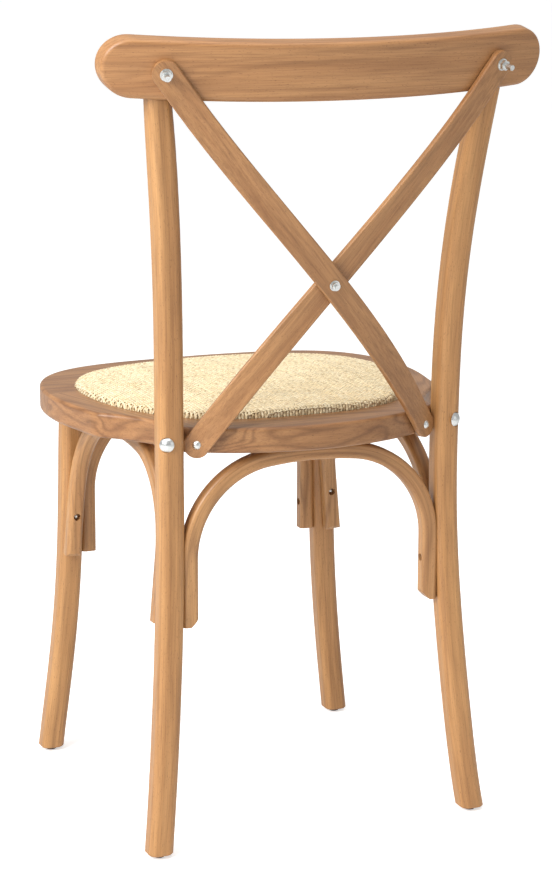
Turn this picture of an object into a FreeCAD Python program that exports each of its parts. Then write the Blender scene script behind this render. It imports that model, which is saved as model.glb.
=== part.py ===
import FreeCAD, Part
import math
import os

# Cross back dining chair, beech with a woven rattan seat.
# Millimetres. Floor at z = 0, the sitter faces -Y, +X is the sitter's left.
V = FreeCAD.Vector
X_AXIS = V(1, 0, 0)
Y_AXIS = V(0, 1, 0)
Z_AXIS = V(0, 0, 1)

# Driving dimensions: overall
POST_Y = 144.02         # rear post centre at seat height
SIDES = (("left", 1), ("right", -1))

# Rear posts and front legs, steam bent rounded squares
POST_SIDE = 28.4
POST_TOP_SIDE = 25.5
POST_EDGE_R = 9.5
LEG_SIDE = 28.0
LEG_EDGE_R = 9.5
GLIDE_H = 4.0
FOOT_CHAMFER = 1.5
# height, distance from the middle, set back from the seat bolt
POST_LINE = (
    (GLIDE_H, 189.6, 29.4),
    (110.0, 178.0, 18.0),
    (230.0, 168.7, 8.0),
    (340.0, 163.9, 1.2),
    (454.0, 163.6, 0.0),
    (520.0, 164.3, 1.6),
    (640.0, 169.0, 10.5),
    (760.0, 180.0, 26.5),
    (834.0, 189.6, 39.8),
)
# height, distance from the middle, distance in front of the rear post
LEG_LINE = (
    (GLIDE_H, 189.2, 347.6),
    (100.0, 177.5, 343.0),
    (210.0, 167.6, 338.0),
    (330.0, 163.2, 335.0),
    (440.0, 159.5, 334.0),
)
LEG_TENON_D = 20.0
LEG_TENON_L = 18.0
POST_TENON_D = 15.0
POST_TENON_L = 20.0

# Crest rail, bent board with stadium ends, leaning back
CREST_R = 700.0
CREST_T = 24.0
CREST_H = 62.0
CREST_HALF_L = 250.0
CREST_LEAN = 11.0
CREST_Z = 849.2
CREST_SET_BACK = 75.5
CREST_EDGE_R = 5.0
CREST_BOLT_ANGLE = 15.3
CREST_BOLT_DROP = 2.0

# Seat rim
RIM_T = 28.0
RIM_TOP = 468.0
RIM_BOTTOM = RIM_TOP - RIM_T
RIM_EDGE_R = 4.0
RIM_BACK_R = 265.0
RIM_BACK_BOW = 40.0
RIM_SEAM = 225.0        # side seams, in front of the rear posts
RIM_BACK_SEAM_X = 118.0
RIM_LEDGE = 48.0
RECESS_DEPTH = 10.0
RECESS_GAP = 1.0
POST_CLEAR = 0.15
# outer line from the front middle round to the rear corner: out, forward
RIM_SIDE_LINE = (
    (0.0, 380.0), (62.0, 378.0), (118.0, 371.0), (163.0, 354.0), (197.0, 323.0),
    (216.0, 283.0), (224.5, 235.0), (222.5, 180.0), (214.0, 132.0),
)
# rear corner, then the concave notch back to the post, and round to the back rail
RIM_CORNER_LINE = (
    (211.0, 116.5), (206.0, 105.5), (198.5, 98.5), (189.0, 88.5), (175.0, 69.5),
    (163.0, 49.5), (157.5, 30.0), (156.6, 19.5), (154.6, 11.6), (149.6, 6.6),
)
OUTLINE_SPAN = 3        # spline spans per edge of an outline
RIM_BOW_STATIONS = (143.0, 125.0, 100.0, 70.0, 36.0)
PAD_LINE = (
    (0.0, 330.0), (60.0, 328.0), (112.0, 320.0), (150.0, 303.0), (176.0, 270.0),
    (187.5, 222.0), (185.0, 172.0), (171.5, 117.0), (148.0, 73.0), (112.0, 36.0),
    (62.0, 17.5), (0.0, 13.0),
)
DOWEL_D = 8.0
DOWEL_L = 36.0

# Seat panel
BOARD_T = 12.0
COVER_T = 2.5
PAD_TOP = RIM_TOP + 13.0
PAD_DOME_R = 2600.0
PAD_RIM_R = 6.0

# Cross slats
SLAT_W = 28.5
SLAT_T = 7.0
SLAT_EDGE_R = 1.6
SLAT_GAP = 0.15
SLAT_BUMP = SLAT_T / 2 + 0.6   # each slat's bend out of line where the two cross
SLAT_FLAT_TOP = 30.0    # straight part that lies on the crest
SLAT_FLAT_FOOT = 20.0   # straight part that lies on the rim
SLAT_FOOT_X = 132.8
SLAT_FOOT_Z = 450.5
SLAT_STATIONS = 10

# Brace arches
ARCH_S = 18.0
ARCH_EDGE_R = 5.0
ARCH_CORNER_R = 105.0
ARCH_TOP_R = 420.0
ARCH_FOOT_Z = 249.0
ARCH_TOP_Z = RIM_BOTTOM - ARCH_S / 2
ARCH_SIDE_TILT = 5.0
ARCH_SCREW_Z = 297.0
FRONT_ARCH_SCREW_Z = 282.0
CROWN_SCREW_X = 30.0

# Fasteners
CREST_BOLT_D = 6.0
CREST_WASHER_D = 13.0
CREST_WASHER_T = 1.2
CREST_NUT_AF = 10.0
CREST_NUT_H = 5.0
CREST_BOLT_TAIL = 10.0
CREST_HEAD_D = 14.0
CREST_HEAD_H = 3.2
CENTER_BOLT_D = 5.0
CENTER_HEAD_D = 12.0
CENTER_NUT_D = 9.0
CENTER_WASHER_D = 11.5
HEAD_CLEAR = 0.06       # between a bolt's head and the hollow face under it
POST_BOLT_D = 6.0
POST_BOLT_ANGLE = 30.0
POST_HEAD_D = 16.0
POST_HEAD_H = 4.0
POST_BOLT_REACH = 48.0
BARREL_D = 10.0
BARREL_L = 15.0
BARREL_REACH = 40.0
SEAT_FACE_REACH = 14.8
FOOT_SCREW_HEAD_D = 9.6
SCREW_HEAD_H = 2.6
SCREW_D = 4.0
BRACE_SCREW_HEAD_D = 7.4
COUNTERBORE_D = 8.4
COUNTERBORE_DEPTH = 6.0
BRACE_SCREW_L = 32.0
GLIDE_D = 13.0
GLIDE_PIN_D = 3.0


def rounded_square(cx, cy, z, side, radius):
    """Closed wire of a rounded square lying level at height z."""
    h = side / 2
    k = h - radius
    d = radius * math.sqrt(0.5)
    edges = []
    for q in range(4):
        turn = FreeCAD.Rotation(Z_AXIS, 90.0 * q)
        pts = [V(h, -k, 0), V(h, k, 0), V(k + d, k + d, 0), V(k, h, 0)]
        a, b, c, e = [turn.multVec(p) + V(cx, cy, z) for p in pts]
        edges.append(Part.LineSegment(a, b).toShape())
        edges.append(Part.Arc(b, c, e).toShape())
    return Part.Wire(edges)


def bent_stick(line, sign, y_of, sides, radius):
    """Loft a bent stick through level sections along its centre line."""
    wires = []
    for (z, out, back), side in zip(line, sides):
        scale = side / max(sides)
        wires.append(rounded_square(sign * out, y_of(back), z, side, radius * scale))
    return Part.makeLoft(wires, True, False)


def edges_at_height(shape, z):
    """Edges that lie in the level plane at height z."""
    found = []
    for edge in shape.Edges:
        box = edge.BoundBox
        if abs(box.ZMin - z) < 0.01 and abs(box.ZMax - z) < 0.01:
            found.append(edge)
    return found


def rod(start, direction, diameter, length):
    """Round bar from a point along a direction."""
    return Part.makeCylinder(diameter / 2, length, start, direction)


def domed_head(base, direction, diameter, height):
    """Low spherical head whose flat face is at base."""
    r = (diameter * diameter / 4 + height * height) / (2 * height)
    ball = Part.makeSphere(r, base + direction * (height - r))
    return ball.common(rod(base, direction, diameter + 1, height + 1))


def hexagon_nut(base, direction, across_flats, height, bore):
    """Hex nut standing on base along a direction."""
    corner = across_flats / math.sqrt(3)
    pts = [V(corner * math.cos(math.radians(60 * i)), corner * math.sin(math.radians(60 * i)), 0)
           for i in range(7)]
    nut = Part.Face(Part.makePolygon(pts)).extrude(V(0, 0, height))
    nut = nut.cut(Part.makeCylinder(bore / 2, height))
    nut.Placement = FreeCAD.Placement(base, FreeCAD.Rotation(Z_AXIS, direction))
    return nut


def half_space(point, normal, size=900.0):
    """Large block whose one face passes through point and that lies along normal."""
    block = Part.makeBox(size, size, size, V(-size / 2, -size / 2, 0))
    block.Placement = FreeCAD.Placement(point, FreeCAD.Rotation(Z_AXIS, normal))
    return block


def back_y(back):
    return POST_Y + back


def front_y(forward):
    return POST_Y - forward


# Crest rail
def crest_placement():
    return FreeCAD.Placement(V(0, POST_Y + CREST_SET_BACK, CREST_Z),
                             FreeCAD.Rotation(X_AXIS, -CREST_LEAN))


def crest_board():
    """Bent board: a sector of a hollow cylinder, trimmed to a stadium and rounded."""
    outer = Part.makeCylinder(CREST_R + CREST_T / 2, CREST_H, V(0, -CREST_R, -CREST_H / 2))
    inner = Part.makeCylinder(CREST_R - CREST_T / 2, CREST_H, V(0, -CREST_R, -CREST_H / 2))
    h = CREST_H / 2
    k = CREST_HALF_L - h
    top = Part.LineSegment(V(-k, 0, h), V(k, 0, h)).toShape()
    right = Part.Arc(V(k, 0, h), V(CREST_HALF_L, 0, 0), V(k, 0, -h)).toShape()
    low = Part.LineSegment(V(k, 0, -h), V(-k, 0, -h)).toShape()
    left = Part.Arc(V(-k, 0, -h), V(-CREST_HALF_L, 0, 0), V(-k, 0, h)).toShape()
    stadium = Part.Face(Part.Wire([top, right, low, left]))
    stadium.translate(V(0, -CREST_R / 2, 0))
    board = outer.cut(inner).common(stadium.extrude(V(0, CREST_R, 0)))
    rounds = []
    for edge in board.Edges:
        if edge.BoundBox.XLength > 1.0 or edge.BoundBox.ZLength > 1.0:
            rounds.append(edge)
    board = board.makeFillet(CREST_EDGE_R, rounds)
    board.Placement = crest_placement()
    return board


def crest_bolt_frame(sign):
    """Point on the rear face of the crest at the slat bolt, and the outward direction."""
    a = math.radians(CREST_BOLT_ANGLE)
    r = CREST_R + CREST_T / 2
    local = V(sign * r * math.sin(a), r * math.cos(a) - CREST_R, -CREST_BOLT_DROP)
    place = crest_placement()
    return place.multVec(local), place.Rotation.multVec(V(sign * math.sin(a), math.cos(a), 0))


# Posts and legs
def rear_post(sign, crest):
    """Steam-bent rear post, coped and tenoned into the crest."""
    sides = [POST_SIDE] * (len(POST_LINE) - 1) + [POST_TOP_SIDE]
    post = bent_stick(POST_LINE, sign, back_y, sides, POST_EDGE_R)
    post = post.makeChamfer(FOOT_CHAMFER, edges_at_height(post, GLIDE_H))
    return post.cut(crest)


def post_tenon(sign):
    """Round tenon on the axis of the post's upper end."""
    z0, x0, y0 = POST_LINE[-2]
    z1, x1, y1 = POST_LINE[-1]
    lean = V(sign * (x1 - x0), y1 - y0, z1 - z0).normalize()
    foot = V(sign * x1, back_y(y1), z1) - lean * 14.0
    return rod(foot, lean, POST_TENON_D, 14.0 + POST_TENON_L)


def front_leg(sign):
    """Steam-bent front leg with a round tenon into the seat rim."""
    leg = bent_stick(LEG_LINE, sign, front_y, [LEG_SIDE] * len(LEG_LINE), LEG_EDGE_R)
    leg = leg.makeChamfer(FOOT_CHAMFER, edges_at_height(leg, GLIDE_H))
    return leg.fuse(leg_tenon(sign)).removeSplitter()


def leg_tenon(sign):
    z, x, y = LEG_LINE[-1]
    return rod(V(sign * x, front_y(y), z - 1.0), Z_AXIS, LEG_TENON_D, LEG_TENON_L + 1.0)


def glide(sign, line, y_of):
    """Nail-on glide with a flat foot and its pin."""
    z, x, y = line[0]
    centre = V(sign * x, y_of(y), 0)
    disc = Part.makeCylinder(GLIDE_D / 2, GLIDE_H, centre)
    disc = disc.makeChamfer(0.8, edges_at_height(disc, 0.0))
    return disc.fuse(rod(centre + Z_AXIS * (GLIDE_H - 1), Z_AXIS, GLIDE_PIN_D, 13.0))


def glide_pin_hole(sign, line, y_of):
    z, x, y = line[0]
    return rod(V(sign * x, y_of(y), GLIDE_H), Z_AXIS, GLIDE_PIN_D, 12.0)


# Seat rim
def outline_curve(half, z):
    """Closed symmetric spline from a half line of (out, forward) points."""
    side = [V(x, front_y(f), z) for x, f in half]
    other = [V(-p.x, p.y, z) for p in reversed(side[1:-1])]
    curve = Part.BSplineCurve()
    curve.interpolate(side + other, PeriodicFlag=True)
    return curve


def closed_outline(half, z, grow=0.0):
    """Wire of an outline, moved outwards by grow all round."""
    curve = outline_curve(half, z)
    if grow:
        points = []
        for t in curve.getKnots()[:-1]:
            away = curve.tangent(t)[0].cross(Z_AXIS)
            points.append(curve.value(t) + away * grow)
        curve = Part.BSplineCurve()
        curve.interpolate(points, PeriodicFlag=True)
    knots = curve.getKnots()
    cuts = knots[:-1:OUTLINE_SPAN] + [knots[-1]]
    return Part.Wire([curve.toShape(a, b) for a, b in zip(cuts, cuts[1:])])


def plate(half, z, thickness, grow=0.0):
    """Flat plate of an outline, standing on height z."""
    return Part.Face(closed_outline(half, z, grow)).extrude(V(0, 0, thickness))


def rim_half_line():
    """Outer line of the rim from the front middle to the back middle."""
    bow = []
    for x in RIM_BOW_STATIONS + (0.0,):
        fall = RIM_BACK_R - math.sqrt(RIM_BACK_R ** 2 - x ** 2)
        bow.append((x, fall - RIM_BACK_BOW))
    return RIM_SIDE_LINE + RIM_CORNER_LINE + tuple(bow)


def post_seat(sign):
    """Upright rounded square that the rear post fills at the seat rim."""
    side = POST_SIDE + 2 * POST_CLEAR
    wire = rounded_square(sign * POST_LINE[4][1], POST_Y, RIM_BOTTOM - 1, side, POST_EDGE_R)
    return Part.Face(wire).extrude(V(0, 0, RIM_T + 2))


def rim_blank():
    """The whole rim before it is divided: outline, recess and opening."""
    blank = plate(rim_half_line(), RIM_BOTTOM, RIM_T)
    soft = edges_at_height(blank, RIM_TOP) + edges_at_height(blank, RIM_BOTTOM)
    blank = blank.makeFillet(RIM_EDGE_R, soft)
    recess = plate(PAD_LINE, RIM_TOP - RECESS_DEPTH, RECESS_DEPTH + 1, RECESS_GAP)
    opening = plate(PAD_LINE, RIM_BOTTOM - 1, RIM_T + 2, -RIM_LEDGE)
    blank = blank.cut([recess, opening, post_seat(1), post_seat(-1)])
    return blank


def rim_pieces():
    """Divide the rim at its four seams and drill it."""
    blank = rim_blank()
    seam_y = front_y(RIM_SEAM)
    blank = blank.cut([leg_tenon(1), leg_tenon(-1)])
    blank = blank.cut([d for side in (1, -1) for d in rim_dowels(side)])
    front = blank.common(half_space(V(0, seam_y, 300), Y_AXIS * -1))
    rest = blank.common(half_space(V(0, seam_y, 300), Y_AXIS))
    left = rest.common(half_space(V(RIM_BACK_SEAM_X, 0, 300), X_AXIS))
    right = rest.common(half_space(V(-RIM_BACK_SEAM_X, 0, 300), X_AXIS * -1))
    middle = Part.makeBox(2 * RIM_BACK_SEAM_X, 400, 200, V(-RIM_BACK_SEAM_X, front_y(110), 400))
    back = rest.common(middle)
    left = left.cut(middle)
    right = right.cut(middle)
    return {"seat_rim_front": front, "seat_rim_back": back,
            "seat_rim_corner_left": left, "seat_rim_corner_right": right}


def rim_dowels(sign):
    """Two dowels across the side seam and two across the rear seam."""
    mid_z = (RIM_TOP + RIM_BOTTOM) / 2 - 2.0
    made = []
    for x in (155.0, 205.0):
        foot = V(sign * x, front_y(RIM_SEAM) - DOWEL_L / 2, mid_z)
        made.append(rod(foot, Y_AXIS, DOWEL_D, DOWEL_L))
    for forward in (30.0, 58.0):
        foot = V(sign * (RIM_BACK_SEAM_X - DOWEL_L / 2), front_y(forward), mid_z)
        made.append(rod(foot, X_AXIS * sign, DOWEL_D, DOWEL_L))
    return made


# Seat panel
def domed_plate(z, top, grow, dome_r, edge_r):
    """Plate of the pad outline under a shallow dome, with a rounded rim."""
    body = plate(PAD_LINE, z, top - z + 1, grow)
    middle_y = front_y(170.0)
    body = body.common(Part.makeSphere(dome_r, V(0, middle_y, top - dome_r)))
    if edge_r:
        rim = [e for e in body.Edges if e.BoundBox.ZMin > z + 1 and e.BoundBox.ZMax > z + 3
               and e.BoundBox.XLength + e.BoundBox.YLength > 1]
        body = body.makeFillet(edge_r, rim)
    return body


def seat_panel():
    """Plywood board, fibre padding and the rattan cover drawn over both."""
    floor = RIM_TOP - RECESS_DEPTH
    board = plate(PAD_LINE, floor, BOARD_T, -COVER_T - 0.8)
    inner_top = PAD_TOP - COVER_T
    padding = domed_plate(floor, inner_top - 0.4, -COVER_T - 0.6, PAD_DOME_R, 3.5)
    padding = padding.common(half_space(V(0, 0, floor + BOARD_T), Z_AXIS))
    skin = domed_plate(floor + 0.2, PAD_TOP, 0.0, PAD_DOME_R, PAD_RIM_R)
    hollow = domed_plate(floor - 1, inner_top, -COVER_T, PAD_DOME_R, PAD_RIM_R - COVER_T)
    return {"seat_board": board, "seat_padding": padding, "rattan_cover": skin.cut(hollow)}


# Cross slats
def slat_foot_frame(sign):
    """Point on the rear face of the seat rim at the slat screw, and the outward direction."""
    a = math.asin(SLAT_FOOT_X / RIM_BACK_R)
    normal = V(sign * math.sin(a), math.cos(a), 0)
    centre = V(0, POST_Y + RIM_BACK_BOW - RIM_BACK_R, SLAT_FOOT_Z)
    return centre + normal * RIM_BACK_R, normal


def slat_path(sign, bump):
    """Centre line of a slat between its two flat ends (t = 0 above, t = 1 below)."""
    top, top_n = crest_bolt_frame(sign)
    foot, foot_n = slat_foot_frame(-sign)
    lift = SLAT_GAP + SLAT_T / 2
    bolt = top + top_n * lift
    screw = foot + foot_n * lift
    chord = screw - bolt
    down = (chord - top_n * chord.dot(top_n)).normalize()
    along = (chord - foot_n * chord.dot(foot_n)).normalize()
    p0 = bolt + down * SLAT_FLAT_TOP
    p1 = screw - along * SLAT_FLAT_FOOT
    m0 = down * (p1 - p0).Length
    m1 = along * (p1 - p0).Length

    def point(t):
        a = 2 * t ** 3 - 3 * t ** 2 + 1
        b = t ** 3 - 2 * t ** 2 + t
        c = t ** 3 - t ** 2
        rise = bump * 16 * t * t * (1 - t) ** 2
        return p0 * a + m0 * b + p1 * (1 - a) + m1 * c + V(0, rise, 0)

    return point, top_n, foot_n, bolt, screw


def slat_tangent(point, t):
    a = max(0.0, t - 0.001)
    b = min(1.0, t + 0.001)
    return (point(b) - point(a)).normalize()


def slat_crossing(point):
    """Parameter where a slat passes the middle plane."""
    low, high = 0.0, 1.0
    start = point(0).x > 0
    for _ in range(40):
        mid = (low + high) / 2
        if (point(mid).x > 0) == start:
            low = mid
        else:
            high = mid
    return (low + high) / 2


def slat_normal(point, top_n, foot_n, cross, t):
    """Face direction, level across the chair where the two slats meet."""
    tangent = slat_tangent(point, cross)
    mid_n = V(0, -tangent.z, tangent.y).normalize()
    a = (t - cross) * (t - 1) / cross
    b = t * (t - 1) / (cross * (cross - 1))
    c = t * (t - cross) / (1 - cross)
    n = top_n * a + mid_n * b + foot_n * c
    along = slat_tangent(point, t)
    return (n - along * n.dot(along)).normalize()


def strip_section(centre, along, normal):
    """Rounded rectangle across a strip."""
    across = along.cross(normal).normalize()
    w, h, r = SLAT_W / 2, SLAT_T / 2, SLAT_EDGE_R
    bend = r * (1 - math.sqrt(0.5))
    corners = ((1, 1), (-1, 1), (-1, -1), (1, -1))
    edges = []
    for i, (sx, sy) in enumerate(corners):
        a = (sx * w, sy * (h - r)) if sx == sy else (sx * (w - r), sy * h)
        b = (sx * (w - bend), sy * (h - bend))
        c = (sx * (w - r), sy * h) if sx == sy else (sx * w, sy * (h - r))
        nx, ny = corners[(i + 1) % 4]
        d = (nx * (w - r), ny * h) if sx == sy else (nx * w, ny * (h - r))
        pts = [centre + across * p[0] + normal * p[1] for p in (a, b, c, d)]
        edges.append(Part.Arc(pts[0], pts[1], pts[2]).toShape())
        edges.append(Part.LineSegment(pts[2], pts[3]).toShape())
    return Part.Wire(edges)


def round_end(strip, centre, inward, normal):
    """Trim a strip's end to a half circle about centre."""
    length = SLAT_W
    across = inward.cross(normal).normalize()
    corner = centre - across * length - normal * length
    block = Part.makeBox(2 * length, length, 2 * length)
    place = FreeCAD.Matrix(across.x, -inward.x, normal.x, corner.x,
                           across.y, -inward.y, normal.y, corner.y,
                           across.z, -inward.z, normal.z, corner.z, 0, 0, 0, 1)
    block = block.transformGeometry(place)
    disc = rod(centre - normal * length, normal, SLAT_W, 2 * length)
    return strip.cut(block.cut(disc))


def cross_slat(sign, bump):
    """Bent strip from the crest on one side to the seat rim on the other."""
    point, top_n, foot_n, bolt, screw = slat_path(sign, bump)
    cross = slat_crossing(point)
    reach = SLAT_W / 2 + 1.0
    head, tail = slat_tangent(point, 0), slat_tangent(point, 1)
    stations = [(bolt - head * reach, head, top_n), (bolt, head, top_n)]
    for i in range(SLAT_STATIONS + 1):
        t = i / SLAT_STATIONS
        normal = slat_normal(point, top_n, foot_n, cross, t)
        stations.append((point(t), slat_tangent(point, t), normal))
    stations += [(screw, tail, foot_n), (screw + tail * reach, tail, foot_n)]
    strip = Part.makeLoft([strip_section(*s) for s in stations], True, False)
    strip = round_end(strip, bolt, head, top_n)
    return round_end(strip, screw, tail * -1, foot_n)


# Brace arches
def arch_path(half_span):
    """Inverted U in the XZ plane: stems, corner bends and a long top arc, all tangent."""
    rc, rt = ARCH_CORNER_R, ARCH_TOP_R
    top_centre = ARCH_TOP_Z - rt
    cx = half_span - rc
    cz = top_centre + math.sqrt((rt - rc) ** 2 - cx ** 2)
    a = math.atan2(cx, cz - top_centre)
    join = V(rt * math.sin(a), 0, top_centre + rt * math.cos(a))
    b = (a + math.pi / 2) / 2
    mid = V(cx + rc * math.sin(b), 0, cz + rc * math.cos(b))
    knee = V(half_span, 0, cz)
    foot = V(half_span, 0, ARCH_FOOT_Z)
    flip = [V(-p.x, 0, p.z) for p in (join, mid, knee, foot)]
    edges = [
        Part.LineSegment(foot, knee).toShape(),
        Part.Arc(knee, mid, join).toShape(),
        Part.Arc(join, V(0, 0, ARCH_TOP_Z), flip[0]).toShape(),
        Part.Arc(flip[0], flip[1], flip[2]).toShape(),
        Part.LineSegment(flip[2], flip[3]).toShape(),
    ]
    return Part.Wire(edges)


def arch_stick(half_span, mitre):
    """Bent stick along the arch path, its feet cut at 45 degrees on the inner side."""
    section = rounded_square(half_span, 0, ARCH_FOOT_Z, ARCH_S, ARCH_EDGE_R)
    stick = arch_path(half_span).makePipeShell([section], True, False)
    for s in (1, -1):
        edge = V(s * (half_span + ARCH_S / 2 - mitre), 0, ARCH_FOOT_Z)
        stick = stick.cut(half_space(edge, V(-s, 0, -1).normalize(), 60.0))
    return stick


def screw_in_arch(x, z, side):
    """End screw on the inner face of an arch foot: head in a counterbore, shank outwards."""
    face = V(side * (x - ARCH_S / 2), 0, z)
    out = X_AXIS * side
    seat = face + out * COUNTERBORE_DEPTH
    pocket = rod(face - out * 2, out, COUNTERBORE_D, COUNTERBORE_DEPTH + 2)
    head = domed_head(seat, out * -1, BRACE_SCREW_HEAD_D, SCREW_HEAD_H)
    shank = rod(seat, out, SCREW_D, BRACE_SCREW_L)
    return pocket, head.fuse(shank)


def crown_screw(x):
    """Screw from under the arch's crown up into the rim."""
    z = ARCH_TOP_Z - ARCH_S / 2
    pocket = rod(V(x, 0, z - 3), Z_AXIS, COUNTERBORE_D, COUNTERBORE_DEPTH + 3)
    seat = V(x, 0, z + COUNTERBORE_DEPTH)
    head = domed_head(seat, Z_AXIS * -1, BRACE_SCREW_HEAD_D, SCREW_HEAD_H)
    return pocket, head.fuse(rod(seat, Z_AXIS, SCREW_D, BRACE_SCREW_L - 4))


def place_all(shapes, placement):
    moved = []
    for shape in shapes:
        copy = shape.copy()
        copy.Placement = placement.multiply(copy.Placement)
        moved.append(copy)
    return moved


def brace_arch(half_span, placement, mitre, screw_z, uprights):
    """One arch in place with its pockets, its end screws and its crown screws."""
    stick = arch_stick(half_span, mitre)
    ends = [screw_in_arch(half_span, screw_z, s) for s in (1, -1)]
    crowns = [crown_screw(x) for x in (-CROWN_SCREW_X, CROWN_SCREW_X)]
    moved = place_all([stick] + [p for p, _ in ends + crowns], placement)
    arch = moved[0].cut(uprights + [half_space(V(0, 0, RIM_BOTTOM), Z_AXIS)])
    arch = arch.cut(moved[1:])
    end_screws = place_all([s for _, s in ends], placement)
    crown_screws = place_all([s for _, s in crowns], placement)
    return largest(arch), end_screws, crown_screws


def largest(shape):
    return max(shape.Solids, key=lambda s: s.Volume)


def upright_at(line, z):
    """Out and back offsets of a post or leg at height z."""
    for low, high in zip(line, line[1:]):
        if low[0] <= z <= high[0]:
            f = (z - low[0]) / (high[0] - low[0])
            return [a + (b - a) * f for a, b in zip(low[1:], high[1:])]
    return list(line[-1][1:])


def brace_arches(posts, legs):
    """Rear, front, left and right arches."""
    bury = 0.8
    post_out, post_back = upright_at(POST_LINE, ARCH_SCREW_Z)
    leg_out, leg_forward = upright_at(LEG_LINE, FRONT_ARCH_SCREW_Z)
    rear_span = post_out - POST_SIDE / 2 - ARCH_S / 2 + bury
    front_span = leg_out - LEG_SIDE / 2 - ARCH_S / 2 + bury
    rear = FreeCAD.Placement(V(0, back_y(post_back), 0), FreeCAD.Rotation())
    front = FreeCAD.Placement(V(0, front_y(leg_forward), 0), FreeCAD.Rotation())
    made = {}
    made["brace_arch_rear"] = brace_arch(rear_span, rear, ARCH_S / 2, ARCH_SCREW_Z, posts)
    made["brace_arch_front"] = brace_arch(front_span, front, ARCH_S, FRONT_ARCH_SCREW_Z, legs)
    y_front = front_y(leg_forward) + LEG_SIDE / 2
    y_back = back_y(post_back) - POST_SIDE / 2
    side_span = (y_back - y_front) / 2 - ARCH_S / 2 + bury
    for i, (name, sign) in enumerate(SIDES):
        turn = FreeCAD.Rotation(Z_AXIS, 90.0)
        tilt = FreeCAD.Rotation(Y_AXIS, -sign * ARCH_SIDE_TILT)
        pivot = V(sign * (post_out + leg_out) / 2, (y_front + y_back) / 2, 0)
        rise = FreeCAD.Placement(V(0, 0, -ARCH_SCREW_Z), turn)
        place = FreeCAD.Placement(pivot + V(0, 0, ARCH_SCREW_Z + 1.4), tilt).multiply(rise)
        made["brace_arch_" + name] = brace_arch(
            side_span, place, ARCH_S * 0.8, ARCH_SCREW_Z, [posts[i], legs[i]])
    return made


# Fasteners
def crest_fasteners(sign):
    """Bolt, washer and nut that hold a slat to the crest."""
    face, normal = crest_bolt_frame(sign)
    slat_back = face + normal * (SLAT_GAP + SLAT_T)
    front = face - normal * (CREST_T + HEAD_CLEAR)
    tail = HEAD_CLEAR + SLAT_GAP + SLAT_T + CREST_WASHER_T + CREST_NUT_H + CREST_BOLT_TAIL
    shank = rod(front, normal, CREST_BOLT_D, CREST_T + tail)
    bolt = shank.fuse(domed_head(front, normal * -1, CREST_HEAD_D, CREST_HEAD_H))
    washer = rod(slat_back, normal, CREST_WASHER_D, CREST_WASHER_T)
    washer = washer.cut(rod(slat_back, normal, CREST_BOLT_D, CREST_WASHER_T))
    base = slat_back + normal * CREST_WASHER_T
    nut = hexagon_nut(base, normal, CREST_NUT_AF, CREST_NUT_H, CREST_BOLT_D)
    return bolt, washer, nut, shank


def center_fasteners():
    """Bolt, washer and round cap nut through the crossing of the slats."""
    point, top_n, foot_n = slat_path(1, SLAT_BUMP)[:3]
    cross = slat_crossing(point)
    normal = slat_normal(point, top_n, foot_n, cross, cross)
    inner_point = slat_path(-1, -SLAT_BUMP)[0]
    back = point(cross) + normal * (SLAT_T / 2)
    front = inner_point(slat_crossing(inner_point)) - normal * (SLAT_T / 2)
    stack = (back - front).dot(normal)
    axis_front = back - normal * stack
    washer = rod(back, normal, CENTER_WASHER_D, 1.0)
    washer = washer.cut(rod(back, normal, CENTER_BOLT_D, 1.0))
    nut = rod(back + normal, normal, CENTER_NUT_D, 4.0)
    nut = nut.cut(rod(back + normal, normal, CENTER_BOLT_D, 4.0))
    length = stack + 8.0
    bolt = rod(axis_front, normal, CENTER_BOLT_D, length)
    bolt = bolt.fuse(domed_head(axis_front, normal * -1, CENTER_HEAD_D, 2.6))
    return bolt, washer, nut, rod(axis_front - normal * 5, normal, CENTER_BOLT_D, length + 10)


def foot_screw(sign):
    """Pan head screw through a slat's foot into the rim."""
    face, normal = slat_foot_frame(sign)
    slat_back = face + normal * (SLAT_GAP + SLAT_T)
    shank = rod(slat_back, normal * -1, SCREW_D, SLAT_T + 26.0)
    return shank.fuse(domed_head(slat_back, normal, FOOT_SCREW_HEAD_D, SCREW_HEAD_H)), shank


def post_bolt(sign):
    """Dome head bolt through the post into a barrel nut in the rim corner."""
    a = math.radians(POST_BOLT_ANGLE)
    out = V(sign * math.sin(a), math.cos(a), 0)
    middle_z = (RIM_TOP + RIM_BOTTOM) / 2
    centre = V(sign * POST_LINE[4][1], POST_Y, middle_z)
    seat = centre + out * SEAT_FACE_REACH
    shank = rod(seat, out * -1, POST_BOLT_D, SEAT_FACE_REACH + POST_BOLT_REACH)
    bolt = shank.fuse(domed_head(seat, out, POST_HEAD_D, POST_HEAD_H))
    spot = rod(seat, out, POST_HEAD_D + 1.0, 6.0)
    top = middle_z + BARREL_L / 2
    at = centre - out * BARREL_REACH
    barrel = rod(V(at.x, at.y, top - BARREL_L), Z_AXIS, BARREL_D, BARREL_L).cut(shank)
    hole = rod(V(at.x, at.y, RIM_BOTTOM - 1), Z_AXIS, BARREL_D, top - RIM_BOTTOM + 1)
    return bolt, barrel, shank, spot, hole


def board_screws():
    """Four screws up through the rim's ledge into the board."""
    made = []
    for x, forward in ((128.0, 76.0), (150.0, 260.0)):
        for sign in (1, -1):
            foot = V(sign * x, front_y(forward), RIM_BOTTOM)
            shank = rod(foot, Z_AXIS, SCREW_D, RIM_T - RECESS_DEPTH + BOARD_T - 3)
            cone = Part.makeCone(BRACE_SCREW_HEAD_D / 2, SCREW_D / 2, SCREW_HEAD_H, foot)
            made.append(shank.fuse(cone))
    return made


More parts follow.
